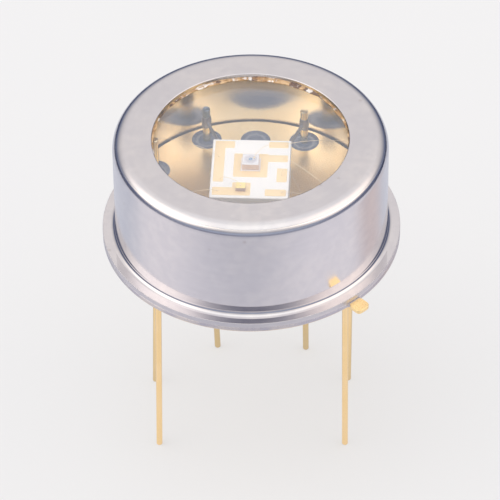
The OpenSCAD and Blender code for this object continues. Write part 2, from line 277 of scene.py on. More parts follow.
fill(streaks, result["Height"], lines.outputs["Fac"])

specks, given, result = effect(
    "Specks", [("Size", "value", 0.6), ("Share", "value", 0.1)], [("Mask", "value")],
)
cells = put(specks, "TexVoronoi", Vector=millimetres(specks), Randomness=1.0)
fill(specks, cells.inputs["Scale"], maths(specks, "DIVIDE", 1.0, given["Size"]))
chosen = put(specks, "SeparateColor", Color=cells.outputs["Color"]).outputs["Red"]
chosen = maths(specks, "LESS_THAN", chosen, given["Share"])
dot = ranged(specks, cells.outputs["Distance"], 0.05, 0.14, 1.0, 0.0)
fill(specks, result["Mask"], maths(specks, "MULTIPLY", chosen, dot))
print("effects:", streaks.name, "and", specks.name)

# %% [markdown]
# Every finish starts the same way: one Principled shader and one output. A plain number that holds all
# over the surface goes straight onto the shader's own socket, where an export can read it. What varies
# comes from the groups.

# %% Start of a finish
def new_finish(name, **plain):
    made = bpy.data.materials.new(name)
    made.use_nodes = True
    tree = made.node_tree
    tree.nodes.clear()
    skin = put(tree, "BsdfPrincipled", **plain)
    out = put(tree, "OutputMaterial")
    tree.links.new(skin.outputs["BSDF"], out.inputs["Surface"])
    return made, tree, skin


def roughen(tree, skin, height, depth, strength):
    """Lets a height pattern tilt the surface, with the depth in mm."""
    bump = put(tree, "Bump", Strength=strength, Distance=depth * MM, Height=height)
    fill(tree, skin.inputs["Normal"], bump.outputs["Normal"])


print("finishes start from a Principled shader")

# %% [markdown]
# Nickel plate on the cap is a soft mirror with a cool, cloudy tint, faint drawn lines, stains and a few
# specks. The weld pressed the flange and the foot of the wall smooth, and shearing left the flange's edge
# dull. The inside is painted light: a much brighter, warmer nickel stands in for the light bounced off
# the gold inside the can. Four separate materials could do this; one that knows the distance from the
# axis and the height has no seams between them.

# %% Nickel plate
INSIDE_R, INSIDE_TOP, SHEARED_R = 6.85, 6.1, 7.62
PRESSED, PRESS_FADE = 1.1, 0.4
nickel_plate, tree, skin = new_finish("nickel_plate", Metallic=1.0)
body = clouded(tree, rgb(0.67, 0.66, 0.695), rgb(0.74, 0.72, 0.73), 3.4, 0.8)
drawn = place(tree, streaks, Around=4.0, Across=0.22, Low=0.15, High=0.22)
body = mixed(tree, ranged(tree, drawn["Height"], 0.35, 0.65, 0.0, 0.22), body, rgb(0.78, 0.77, 0.79))
stain = place(tree, grain, Size=0.5, Low=0.0, High=0.5)["Value"]
body = mixed(tree, stain, body, rgb(0.64, 0.63, 0.67))
dots = place(tree, specks, Size=0.9, Share=0.12)["Mask"]
body = mixed(tree, maths(tree, "MULTIPLY", dots, 0.25), body, rgb(0.45, 0.38, 0.33))
reach, height = from_axis(tree)
inside = maths(tree, "LESS_THAN", reach, INSIDE_R)
inside = maths(tree, "MULTIPLY", inside, maths(tree, "LESS_THAN", height, INSIDE_TOP))
# painted light: the inside of the can gets a much brighter, warmer nickel than the outside, standing in for
# light bounced off the gold inside
fill(tree, skin.inputs["Base Color"], mixed(tree, inside, body, rgb(0.97, 0.93, 0.89)))
outside = maths(tree, "SUBTRACT", 1.0, inside)
free = maths(tree, "MULTIPLY", outside, ranged(tree, height, PRESSED, PRESSED + PRESS_FADE, 0.0, 1.0))
rough = maths(tree, "MULTIPLY", drawn["Value"], maths(tree, "MULTIPLY_ADD", free, 0.7, 0.3))
rough = maths(tree, "MULTIPLY_ADD", inside, 0.145, rough)
sheared = maths(tree, "GREATER_THAN", reach, SHEARED_R)
fill(tree, skin.inputs["Roughness"], maths(tree, "MULTIPLY_ADD", sheared, 0.5, rough))
roughen(tree, skin, maths(tree, "MULTIPLY", drawn["Height"], free), 0.004, 0.25)
print(nickel_plate.name, len(tree.nodes), "nodes")

# %% [markdown]
# Gold covers the header and the leads, and a thinner, duller film of it makes the pattern, the wires
# and the sensor's top. Each could be a material of its own from the start; one function holds what all
# golds share, and takes the wear of a piece and the painted light on it as another function.

# %% Gold films
def gold_finish(name, base, tint, rough, size, depth, wear_and_painted_light=None, metallic=1.0):
    made, tree, skin = new_finish(name, Metallic=metallic)
    body = clouded(tree, base, tint, 1.6, 0.7)
    fill(tree, skin.inputs["Base Color"], wear_and_painted_light(tree, body) if wear_and_painted_light else body)
    etched = place(tree, grain, Size=size, Low=rough[0], High=rough[1])
    fill(tree, skin.inputs["Roughness"], etched["Value"])
    if depth:
        roughen(tree, skin, etched["Height"], depth, 0.3)
    print(made.name, len(tree.nodes), "nodes")
    return made


gold_film = gold_finish(
    "gold_film", rgb(0.99, 0.78, 0.47), rgb(1.0, 0.82, 0.53), (0.42, 0.55), 0.03, 0.003, metallic=0.4)
bond_gold = gold_finish(
    "bond_gold", rgb(1.0, 0.84, 0.6), rgb(1.0, 0.87, 0.66), (0.3, 0.4), 0.02, 0.003, metallic=0.4)
sensor_gold = gold_finish(
    "sensor_gold", rgb(1.0, 0.83, 0.36), rgb(1.0, 0.86, 0.42), (0.4, 0.5), 0.03, 0.003, metallic=0.4)

# %% [markdown]
# Gold plate on the header and the leads shows what they went through. Welding burnt it off the flange's
# edge, and the back left post was dipped in solder. The posts inside the can get a paler, brighter gold:
# that is painted light, for the bright reflections they catch. Each mark is a function that lays other
# colours over the gold, by place.

# %% Worn gold plate, with painted light on the posts
PITCH = 2.54
RIM_START, RIM_END, RIM_FOOT, FADE = 7.55, 7.72, 0.05, 0.04
TINNED_FROM, PAINTED_LIGHT_FROM, DIP_EDGE = 2.95, 1.3, 0.1


def welded_rim(tree, body):
    """The weld burnt the gold off the flange's edge, all but its foot."""
    reach, height = from_axis(tree)
    edge = ranged(tree, reach, RIM_START, RIM_START + FADE, 0.0, 1.0)
    edge = maths(tree, "MULTIPLY", edge, maths(tree, "LESS_THAN", reach, RIM_END))
    above = ranged(tree, height, RIM_FOOT - FADE, RIM_FOOT + FADE, 0.35, 1.0)
    edge = maths(tree, "MULTIPLY", edge, above)
    burnt = clouded(tree, rgb(0.5, 0.49, 0.55), rgb(0.66, 0.62, 0.6), 0.9, 0.8)
    outside = maths(tree, "GREATER_THAN", reach, RIM_START)
    return mixed(tree, edge, mixed(tree, outside, body, rgb(1.0, 0.77, 0.4)), burnt)


def tinned_and_painted_light_posts(tree, body):
    """Posts inside the can get a paler gold as painted light, and the back left one was dipped in solder.
    """
    spot = put(tree, "SeparateXYZ", Vector=millimetres(tree)).outputs
    left = maths(tree, "LESS_THAN", spot["X"], 0.0)
    back = maths(tree, "GREATER_THAN", spot["Y"], 1.5 * PITCH)
    dipped = ranged(tree, spot["Z"], TINNED_FROM - DIP_EDGE, TINNED_FROM + DIP_EDGE, 0.0, 1.0)
    dipped = maths(tree, "MULTIPLY", maths(tree, "MULTIPLY", left, back), dipped)
    tin = clouded(tree, rgb(0.24, 0.33, 0.46), rgb(0.36, 0.44, 0.52), 0.3, 0.7)
    # painted light: a paler, brighter gold on the posts inside the can stands in for the reflections they
    # catch
    painted_light_posts = maths(tree, "GREATER_THAN", spot["Z"], PAINTED_LIGHT_FROM)
    return mixed(tree, dipped, mixed(tree, painted_light_posts, body, rgb(1.0, 0.87, 0.55)), tin)


gold_plate = gold_finish(
    "gold_plate", rgb(1.0, 0.77, 0.43), rgb(1.0, 0.81, 0.5), (0.24, 0.32), 0.05, 0.003, welded_rim)
lead_gold = gold_finish(
    "lead_gold", rgb(0.97, 0.73, 0.38), rgb(0.99, 0.76, 0.43), (0.2, 0.24), 0.4, 0, tinned_and_painted_light_posts)

# %% [markdown]
# Sealing glass is a dark blue-grey glaze with tiny bubbles and a pale ring round each lead, a painted
# highlight where the glass creeps up the metal. The seal under the window is a glass of the same kind:
# its amber is partly its own colour and partly painted reflection of the gold inside, with dark brown
# stretches, painted white glints along its edge, and a part under the cap painted pale for light
# bounced inside the can. Both are too deep in colour to see into, so a glossy coat of colour looks right
# and renders faster than real glass.

# %% Sealing glass and window seal
HIGHLIGHT_RING_R, HIGHLIGHT_RING_W, LIP_END = 0.5, 0.12, 5.04


def glaze_finish(name, base, tint, rough, flawed):
    made, tree, skin = new_finish(name, IOR=1.55)
    fill(tree, skin.inputs["Base Color"], flawed(tree, clouded(tree, base, tint, 0.4, 0.8)))
    fused = place(tree, grain, Size=0.12, Low=rough, High=rough + 0.1)
    fill(tree, skin.inputs["Roughness"], fused["Value"])
    roughen(tree, skin, fused["Height"], 0.006, 0.2)
    print(made.name, len(tree.nodes), "nodes")
    return made


def from_grid(tree, value):
    """The distance from the nearest line of the lead grid."""
    line = maths(tree, "SNAP", maths(tree, "ADD", value, PITCH / 2), PITCH)
    return maths(tree, "SUBTRACT", value, line)


def ridge_highlight_ring(tree):
    """A painted highlight ring round each lead. The leads stand on a grid, so the nearest crossing is the
    lead.
    """
    spot = put(tree, "SeparateXYZ", Vector=millimetres(tree)).outputs
    flat = put(tree, "CombineXYZ", X=from_grid(tree, spot["X"]), Y=from_grid(tree, spot["Y"]))
    reach = put(tree, "VectorMath", {"operation": "LENGTH"}, Vector=flat.outputs["Vector"]).outputs["Value"]
    away = maths(tree, "ABSOLUTE", maths(tree, "SUBTRACT", reach, HIGHLIGHT_RING_R))
    return ranged(tree, away, 0.0, HIGHLIGHT_RING_W, 0.7, 0.0)


def bubbles_and_highlight_ring(tree, body):
    """Small bubbles, and a painted highlight ring round each lead."""
    dots = place(tree, specks, Size=0.12, Share=0.2)["Mask"]
    body = mixed(tree, maths(tree, "MULTIPLY", dots, 0.5), body, rgb(0.34, 0.37, 0.44))
    # painted highlight: a pale ring round each lead where the glass creeps up it
    return mixed(tree, ridge_highlight_ring(tree), body, rgb(0.34, 0.38, 0.47))


def frit_marks_and_painted_light(tree, body):
    """Dark brown stretches, painted white glints along the edge, and a part under the cap painted pale for
    light bounced inside the can.
    """
    burnt = place(tree, grain, Size=1.1, Low=0.0, High=1.0)["Value"]
    body = mixed(tree, ranged(tree, burnt, 0.55, 0.75, 0.0, 0.85), body, rgb(0.13, 0.09, 0.09))
    # painted highlight: white glints along the edge of the seal
    glint_share = place(tree, grain, Size=0.6, Low=0.0, High=1.0)["Value"]
    body = mixed(tree, ranged(tree, glint_share, 0.7, 0.85, 0.0, 0.9), body, rgb(0.95, 0.93, 0.92))
    # painted light: the part under the cap is pale to stand in for light bounced inside the can
    covered = maths(tree, "GREATER_THAN", from_axis(tree)[0], LIP_END)
    return mixed(tree, covered, body, rgb(0.95, 0.83, 0.68))


sealing_glass = glaze_finish("sealing_glass", rgb(0.12, 0.16, 0.27), rgb(0.17, 0.21, 0.32), 0.12, bubbles_and_highlight_ring)
# painted reflection: the seal's amber is partly its own colour and partly the gold inside, reflected
window_frit = glaze_finish("window_frit", rgb(0.42, 0.24, 0.11), rgb(0.82, 0.6, 0.36), 0.2, frit_marks_and_painted_light)

# %% [markdown]
# The window is polished glass whose coating leaves a faint blue reflection. The camera sees it as solid
# glass that bends light. Light falling in would be lost in it, though, as a renderer finds no way from
# a lamp through bending glass, so shadow rays, diffuse rays and mirror images pass it as a clear sheet.

# %% Window glass
window_glass, tree, skin = new_finish(
    "window_glass", IOR=1.7, Transmission_Weight=0.96, Specular_Tint=rgb(0.62, 0.74, 1.0))
haze = clouded(tree, rgb(0.97, 0.985, 1.0), rgb(0.95, 0.975, 1.0), 2.5, 0.6)
fill(tree, skin.inputs["Base Color"], haze)
fill(tree, skin.inputs["Roughness"], place(tree, grain, Size=1.4, Low=0.0, High=0.012)["Value"])
path = put(tree, "LightPath").outputs
mirrored = maths(tree, "GREATER_THAN", path["Is Glossy Ray"], path["Is Transmission Ray"])
passing = maths(tree, "MAXIMUM", path["Is Shadow Ray"], path["Is Diffuse Ray"])
passing = maths(tree, "MAXIMUM", passing, mirrored)
clear = put(tree, "BsdfTransparent", Color=rgb(0.99, 0.99, 0.99))
either(tree, passing, skin, clear, tree.nodes["Material Output"])
print(window_glass.name, len(tree.nodes), "nodes")

# %% [markdown]
# The small pieces inside are white fired alumina, sawn semiconductor, copper, solder and thin metal
# layers. They differ in colour, gloss and size of grain, but all have a cloudy tint and a fine grain,
# so one function makes them and each call is one finish.

# %% Grained finishes
def grained_finish(name, base, tint, low, high, size, **plain):
    made, tree, skin = new_finish(name, **plain)
    fill(tree, skin.inputs["Base Color"], clouded(tree, base, tint, 0.7, 0.7))
    fired = place(tree, grain, Size=size, Low=low, High=high)
    fill(tree, skin.inputs["Roughness"], fired["Value"])
    roughen(tree, skin, fired["Height"], 0.004, 0.4)
    print(made.name, len(tree.nodes), "nodes")
    return made


alumina = grained_finish("alumina", rgb(0.88, 0.885, 0.9), rgb(0.84, 0.85, 0.87), 0.5, 0.65, 0.03)
sensor_oxide = grained_finish("sensor_oxide", rgb(0.52, 0.4, 0.4), rgb(0.6, 0.48, 0.47), 0.45, 0.6, 0.04)
n_pellet = grained_finish(
    "n_pellet", rgb(0.56, 0.55, 0.57), rgb(0.66, 0.64, 0.64), 0.35, 0.5, 0.05, Metallic=0.8)
p_pellet = grained_finish(
    "p_pellet", rgb(0.48, 0.47, 0.5), rgb(0.58, 0.57, 0.58), 0.35, 0.5, 0.05, Metallic=0.8)
copper = grained_finish(
    "copper", rgb(0.8, 0.42, 0.27), rgb(0.72, 0.36, 0.22), 0.28, 0.4, 0.04, Metallic=1.0)
solder = grained_finish(
    "solder", rgb(0.38, 0.39, 0.45), rgb(0.48, 0.48, 0.53), 0.28, 0.42, 0.09, Metallic=1.0)
bonding_metal = grained_finish(
    "bonding_metal", rgb(0.9, 0.84, 0.8), rgb(0.84, 0.78, 0.75), 0.4, 0.5, 0.04)
contact_metal = grained_finish(
    "contact_metal", rgb(0.8, 0.8, 0.84), rgb(0.88, 0.88, 0.9), 0.3, 0.4, 0.03, Metallic=1.0)

# %% [markdown]
# The chip is polished silicon under a clear coating. From above it has a dark blue active area in the
# middle, whose coating swallows the light it is made for, a grey guard ring and paler corners. A
# picture could carry that, but rings drawn by the distance from the axis stay sharp at any size.

# %% Silicon
ACTIVE_R, ACTIVE_EDGE, GUARD_R, CORNER_R, SKIN = 0.11, 0.02, 0.27, 0.36, 0.01
silicon, tree, skin = new_finish("silicon", IOR=2.0)
reach, height = from_axis(tree)
on_top = maths(tree, "GREATER_THAN", height, box_mm("chip")[1][2] - SKIN)
side = clouded(tree, rgb(0.7, 0.53, 0.47), rgb(0.78, 0.63, 0.57), 0.2, 0.6)
guard = clouded(tree, rgb(0.56, 0.56, 0.64), rgb(0.64, 0.63, 0.69), 0.15, 0.6)
face = mixed(tree, ranged(tree, reach, GUARD_R, CORNER_R, 0.0, 1.0), guard, rgb(0.72, 0.73, 0.78))
active = ranged(tree, reach, ACTIVE_R - ACTIVE_EDGE, ACTIVE_R + ACTIVE_EDGE, 1.0, 0.0)
face = mixed(tree, active, face, rgb(0.22, 0.34, 0.52))
fill(tree, skin.inputs["Base Color"], mixed(tree, on_top, side, face))
fill(tree, skin.inputs["Roughness"], place(tree, grain, Size=0.05, Low=0.2, High=0.3)["Value"])
print(silicon.name, len(tree.nodes), "nodes")

# %% [markdown]
# Round pieces could be spun with a modifier. Here a bmesh function carries a profile round the axis
# ring by ring, because it can also let the radius swell with the angle, as melted glass and solder do.
# Two holding points just inside each straight run keep its smooth shading flat, so that mirrors stay
# true up to the bends.

# %% Turned shapes
HOLD, ROUND = 0.02, 240


def arc(x, z, r, start, stop, steps=12):
    angles = [math.radians(start + (stop - start) * k / steps) for k in range(steps + 1)]
    return [(x + r * math.cos(a), z + r * math.sin(a)) for a in angles]


def run(start, end):
    """Two points just inside the ends of a straight run."""
    start, end = Vector(start), Vector(end)
    step = (end - start).normalized() * HOLD
    return [tuple(start + step), tuple(end - step)]


def turned(profile, segments, at=(0, 0), closed=False, swell=None, bm=None):
    bm = bm or bmesh.new()
    angles = [2 * math.pi * k / segments for k in range(segments)]
    rings = []
    for r, z in profile:
        if r == 0:
            rings.append([bm.verts.new((*at, z))])
            continue
        reach = [(a, swell(a, r, z) if swell else r) for a in angles]
        ring = [(at[0] + d * math.cos(a), at[1] + d * math.sin(a), z) for a, d in reach]
        rings.append([bm.verts.new(point) for point in ring])
    for low, high in zip(rings, rings[1:] + (rings[:1] if closed else [])):
        for k in range(segments):
            n = k + 1
            corners = [low[k % len(low)], low[n % len(low)], high[n % len(high)], high[k % len(high)]]
            bm.faces.new(list(dict.fromkeys(corners)))
    return bm


print("round pieces have", ROUND, "steps")

# %% [markdown]
# Flat pieces are outlines lofted through a few heights, with rounded corners and edges pulled in a
# little. Wires are a ring swept along a path. A curve with a bevel could do it; a plain list of
# radii, one for each point, makes a flattened end easy.

# %% Lofted and swept shapes
CORNER_SHARE = 0.45


def lofted(loops):
    bm = bmesh.new()
    rows = [[bm.verts.new(p) for p in loop] for loop in loops]
    for low, high in zip(rows, rows[1:]):
        for k in range(len(low)):
            n = (k + 1) % len(low)
            bm.faces.new((low[k], low[n], high[n], high[k]))
    bm.faces.new(rows[0][::-1])
    bm.faces.new(rows[-1])
    return bm


def swept(path, radii, sides):
    ahead = (path[1] - path[0]).normalized()
    across = ahead.orthogonal().normalized()
    turns = [2 * math.pi * k / sides for k in range(sides)]
    loops = []
    for i, point in enumerate(path):
        ahead = (path[min(i + 1, len(path) - 1)] - path[max(i - 1, 0)]).normalized()
        across = (across - ahead * across.dot(ahead)).normalized()
        other = ahead.cross(across)
        loops.append([point + radii[i] * (math.cos(t) * across + math.sin(t) * other) for t in turns])
    return lofted(loops)


def rounded(points, radius, steps=5):
    done = []
    for i, corner in enumerate(points):
        corner = Vector(corner)
        back, on = Vector(points[i - 1]) - corner, Vector(points[(i + 1) % len(points)]) - corner
        cut = min(radius, CORNER_SHARE * back.length, CORNER_SHARE * on.length)
        p, q = corner + back.normalized() * cut, corner + on.normalized() * cut
        shares = [k / steps for k in range(steps + 1)]
        done += [p.lerp(corner, s).lerp(corner.lerp(q, s), s) for s in shares]
    return done


def layered(outline, layers):
    """Lofts an outline through (inset, height) steps."""
    ahead = [(outline[(i + 1) % len(outline)] - outline[i - 1]).normalized() for i in range(len(outline))]
    inward = [Vector((-a.y, a.x)) for a in ahead]
    return lofted([[(*(p + amount * n), z) for p, n in zip(outline, inward)] for amount, z in layers])


print("loft and sweep ready")

# %% [markdown]
# A shape becomes a piece when it has a mesh in metres, a finish and a body to ride on. Edges sharper
# than the crisp angle stay sharp and all others shade smooth. The imported solid that a piece stands for
# is then hidden.

# %% Pieces
CRISP = 32


def solid(name, bm, scale=MM):
    """Puts a shape into the scene as an object."""
    bmesh.ops.scale(bm, vec=(scale, scale, scale), verts=bm.verts)
    bmesh.ops.recalc_face_normals(bm, faces=bm.faces)
    mesh = bpy.data.meshes.new(name)
    bm.to_mesh(mesh)
    bm.free()
    made = bpy.data.objects.new(name, mesh)
    bpy.context.scene.collection.objects.link(made)
    return made


def dressed(made, finish, slot, *stands_for, crisp=CRISP):
    made.data.materials.clear()
    made.data.materials.append(finish)
    made.data.polygons.foreach_set("use_smooth", [True] * len(made.data.polygons))
    made.data.set_sharp_from_angle(angle=math.radians(crisp))
    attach(made, "root")
    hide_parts(*stands_for)
    print(made.name, len(made.data.polygons), "faces")


def piece(name, bm, finish, slot, *stands_for, crisp=CRISP):
    dressed(solid(name, bm), finish, slot, *stands_for, crisp=crisp)


print("edges over", CRISP, "degrees stay sharp")

# %% [markdown]
# The cap is drawn from one sheet: a welded flange, a tight fillet, the barrel, a rounded shoulder and
# the aperture. A cylinder with bevels would miss the sheet's thickness, which shows at the aperture and
# through the window, so one closed profile of the section is turned round the axis.

# %% Cap
cap_low, cap_high = box_mm("cap")
FLANGE_R, FLANGE_T, CAP_TOP = cap_high[0], cap_low[2], cap_high[2]
SHEET, BARREL_R, SHOULDER_R, FOOT_R, APERTURE_R, ROLLED, BURR = 0.28, 7.0, 0.64, 0.25, 5.0, 0.05, 0.015
rim = FLANGE_T + SHEET
under = CAP_TOP - SHEET
foot = (BARREL_R + FOOT_R, rim + FOOT_R)
shoulder = (BARREL_R - SHOULDER_R, CAP_TOP - SHOULDER_R)
section = [
    (FLANGE_R, FLANGE_T + BURR),
    *arc(FLANGE_R - BURR, rim - BURR, BURR, 0, 90, 4),
    *run((FLANGE_R - BURR, rim), (foot[0], rim)),
    *arc(*foot, FOOT_R, 270, 180, 16),
    *run((BARREL_R, foot[1]), (BARREL_R, shoulder[1])),
    *arc(*shoulder, SHOULDER_R, 0, 90, 24),
    *run((shoulder[0], CAP_TOP), (APERTURE_R + ROLLED, CAP_TOP)),
    *arc(APERTURE_R + ROLLED, CAP_TOP - ROLLED, ROLLED, 90, 180, 6),
    (APERTURE_R, under + BURR),
    (APERTURE_R + BURR, under),
    *run((APERTURE_R + BURR, under), (shoulder[0], under)),
    *arc(*shoulder, SHOULDER_R - SHEET, 90, 0, 12),
    *run((BARREL_R - SHEET, shoulder[1]), (BARREL_R - SHEET, foot[1])),
    *arc(*foot, FOOT_R + SHEET, 180, 270, 12),
    (FLANGE_R - BURR, FLANGE_T),
]
piece("cap_shell", turned(section, ROUND, closed=True), nickel_plate, "nickel_plate", "cap")

# %% [markdown]
# The header is stamped: a flange with an index tab, a raised platform, and holes for the glass. First
# comes the flange. It could be cut from a cylinder and a box; an outline that runs round the circle and
# out into the tab can be lofted in one go, with the rounded lower edge that stamping leaves on one
# side.

# %% Header flange
TAB_HALF, TAB_REACH, TAB_CORNER, TAB_TURN, TAB_ROOT = 0.4, 0.8, 0.25, math.radians(-45), 0.05
EDGE_R, TOP_BEVEL = 0.06, 0.01
root_turn = math.asin(TAB_HALF / FLANGE_R)
rim_turns = [root_turn + (2 * math.pi - 2 * root_turn) * k / ROUND for k in range(ROUND + 1)]
rim_points = [Vector((FLANGE_R * math.cos(t), FLANGE_R * math.sin(t))) for t in rim_turns]
tab_tip = FLANGE_R + TAB_REACH
tab = [(FLANGE_R, -TAB_HALF), (tab_tip, -TAB_HALF), (tab_tip, TAB_HALF), (FLANGE_R, TAB_HALF)]
tab_points = [p for p in rounded(tab, TAB_CORNER, 8) if p.x > FLANGE_R + TAB_ROOT]
turn = Matrix.Rotation(TAB_TURN, 2)
flange_outline = [turn @ p for p in rim_points + tab_points]
flange_layers = [(EDGE_R - x, EDGE_R + z) for x, z in arc(0, 0, EDGE_R, 270, 360, 3)]
flange_layers += [(0, FLANGE_T - TOP_BEVEL), (TOP_BEVEL, FLANGE_T)]
header = solid("header_plate", layered(flange_outline, flange_layers), scale=1)
print("flange outline of", len(flange_outline), "points")

# %% [markdown]
# Then the platform is joined to the flange and the holes are pierced. Boolean modifiers do both, since
# the outline with its tab and seven holes in one mesh would be hard to write by hand. They work in
# millimetres, where their tolerance is safe, and the result is scaled down at the end.

# %% Header platform and holes
PLATFORM_Z, SEAL_R = box_mm("header")[1][2], box_mm("seal_blank")[1][0]
PLATFORM_R, SUNK, DRILL_LOW, DRILL_TOP, SEAL_SIDES = 6.63, 0.1, -1, 3, 64
GRID = {
    "front_left": (-2, -1), "front_right": (2, -1), "mid_left": (-2, 1), "mid_right": (2, 1),
    "back_left": (-1, 2), "back_right": (1, 2),
}
PLACES = {name: (x * PITCH, y * PITCH) for name, (x, y) in GRID.items()}
BLANK = (0, 2 * PITCH)


def carved(target, tool, operation):
    cut = target.modifiers.new(operation.lower(), "BOOLEAN")
    cut.operation, cut.object, cut.solver = operation, tool, "EXACT"
    shape = target.evaluated_get(bpy.context.evaluated_depsgraph_get())
    result = bpy.data.meshes.new_from_object(shape)
    target.modifiers.clear()
    target.data = result
    bpy.data.objects.remove(tool)


bend = (PLATFORM_R - EDGE_R, PLATFORM_Z - EDGE_R)
platform = [
    (0, SUNK), (PLATFORM_R, SUNK), (PLATFORM_R, bend[1] - HOLD), *arc(*bend, EDGE_R, 0, 90, 6),
    (bend[0] - HOLD, PLATFORM_Z), (0, PLATFORM_Z),
]
carved(header, solid("platform", turned(platform, ROUND), scale=1), "UNION")
drill = [(0, DRILL_LOW), (SEAL_R, DRILL_LOW), (SEAL_R, DRILL_TOP), (0, DRILL_TOP)]
drills = bmesh.new()
for spot in [*PLACES.values(), BLANK]:
    turned(drill, SEAL_SIDES, at=spot, bm=drills)
carved(header, solid("drills", drills, scale=1), "DIFFERENCE")
header.data.transform(Matrix.Scale(MM, 4))
dressed(header, gold_plate, "gold_plate", "header")

# %% [markdown]
# Each lead is a wire with a rounded tip. Handling has pushed the leads aside a little, as it does with
# thin soft wire: a bend in the first few millimetres under the header, then a straight lean. The wire
# is turned straight and its points are then moved by their depth, so it needs no path to sweep.

# %% Leads
lead_low, lead_high = box_mm("lead_front_left")
LEAD_DROP, POST_TOP = -lead_low[2], lead_high[2]
LEAD_R, POST_R, TIP_R, TIP_END, LEAD_SIDES = 0.16, 0.2, 0.06, 0.1, 48
KINK, KINK_STEPS = 2.8, 12
NUDGED = {
    "front_left": (0.36, 0.18, 0), "front_right": (-0.17, -0.13, 0.35), "mid_left": (-0.06, -0.31, -0.25),
    "mid_right": (-0.02, -0.1, 0.22), "back_left": (0.08, 0.36, 0), "back_right": (0.02, 0.08, 0),
}


def nudge(bm, near, tip, back):
    """Pushes a lead aside: to near within the kink, on to tip at its end, and back along Y."""
    for v in bm.verts:
        down = max(0.0, -v.co.z)
        kinked = min(1.0, down / KINK)
        kinked = kinked * kinked * (3 - 2 * kinked)
        along = max(0.0, down - KINK) / (LEAD_DROP - KINK)
        v.co.x += near * kinked + (tip - near) * along
        v.co.y += back * along
    return bm


lead = [
    (0, -LEAD_DROP), *arc(LEAD_R - TIP_R, TIP_R - LEAD_DROP, TIP_R, 270, 360, 6),
    (LEAD_R, TIP_END - LEAD_DROP),
    *[(LEAD_R, -KINK + KINK * k / KINK_STEPS) for k in range(KINK_STEPS + 1)],
    (POST_R, 0), *run((POST_R, 0), (POST_R, POST_TOP - TIP_R)),
    *arc(POST_R - TIP_R, POST_TOP - TIP_R, TIP_R, 0, 90, 6), (0, POST_TOP),
]
for name, at in PLACES.items():
    bent = nudge(turned(lead, LEAD_SIDES, at), *NUDGED[name])
    piece(f"lead_wire_{name}", bent, lead_gold, "gold_plate", f"lead_{name}")

# %% [markdown]
# Glass holds each lead and creeps up the metal at both of its edges, so its faces are shallow dishes.
# The blank seal in the back row has no lead, and its dish is deepest in the middle. A sine gives the
# first curve and a cosine the second.

# %% Glass seals
SEAL_DIP, DISH_STEPS = 0.05, 14


def dish(r, bore, z, way):
    """A shallow dish from the bore out to r. Way is 1 for the upper face and -1 for the lower one."""
    steps = [k / DISH_STEPS for k in range(DISH_STEPS + 1)]
    sag = [math.sin(math.pi * s) if bore else math.cos(math.pi * s / 2) for s in steps]
    return [(bore + (r - bore) * s, z - way * SEAL_DIP * d) for s, d in zip(steps, sag)]


def bead(bore, at):
    faces = dish(SEAL_R, bore, 0, -1) + dish(SEAL_R, bore, PLATFORM_Z, 1)[::-1]
    return turned(faces, SEAL_SIDES, at, closed=bore > 0)


for name, at in PLACES.items():
    piece(f"glass_bead_{name}", bead(POST_R, at), sealing_glass, "sealing_glass", f"seal_{name}")
piece("glass_bead_blank", bead(0, BLANK), sealing_glass, "sealing_glass", "seal_blank")

# %% [markdown]
# The window is a ground disc under the aperture, held by a ring of fused glass. The ring flowed while
# it was soft, so its inner edge wanders instead of being a true circle. Random noise could do that; a
# few sine waves of whole numbers round the circle close on themselves and come out the same each time.

# %% Window and its seal
window_low, window_high = box_mm("window")
WINDOW_R, WINDOW_LOW, WINDOW_TOP = window_high[0], window_low[2], window_high[2]
seal_low, seal_high = box_mm("window_seal")
FRIT_R, FRIT_LOW = seal_high[0], seal_low[2]
FRIT_LIP, FRIT_STEP, LIP_ROUND = 0.1, 0.05, 0.015
WAVES = ((2, 0.06, 1.57), (3, 0.02, 0.7), (7, 0.025, 2.1), (13, 0.025, 4.0), (31, 0.02, 1.3))
disc = [
    (0, WINDOW_LOW), (WINDOW_R - EDGE_R, WINDOW_LOW), (WINDOW_R, WINDOW_LOW + EDGE_R),
    (WINDOW_R, WINDOW_TOP), (0, WINDOW_TOP),
]
piece("window_disc", turned(disc, ROUND), window_glass, "window_glass", "window")


def wander(a, r, z):
    if r > APERTURE_R:
        return r
    return r + sum(size * math.sin(n * a + phase) for n, size, phase in WAVES)


lip = APERTURE_R - FRIT_LIP
fused = [
    (lip, WINDOW_TOP + 0.01), (lip + 0.02, WINDOW_TOP), (WINDOW_R, WINDOW_TOP), (WINDOW_R, FRIT_LOW),
    (FRIT_R, WINDOW_TOP - FRIT_STEP), (FRIT_R, under),
    (lip + 2 * LIP_ROUND, under), (lip, under - LIP_ROUND),
]
fused_ring = turned(fused, ROUND, closed=True, swell=wander)
piece("fused_ring", fused_ring, window_frit, "window_frit", "window_seal")

# %% [markdown]
# Inside, flat pieces are slabs whose edges were ground or sawn. A scaled cube would have knife edges
# that never catch the light. Each slab takes its place from the box of the solid it stands for and gets
# rounded corners and a small bevel.

# %% Slabs
def corners(low, high):
    return [(low[0], low[1]), (high[0], low[1]), (high[0], high[1]), (low[0], high[1])]


def slab(low, high, edge):
    z, top = low[2], high[2]
    steps = [(edge, z), (0, z + edge), (0, top - edge), (edge, top)]
    return layered(rounded(corners(low, high), edge, 3), steps)


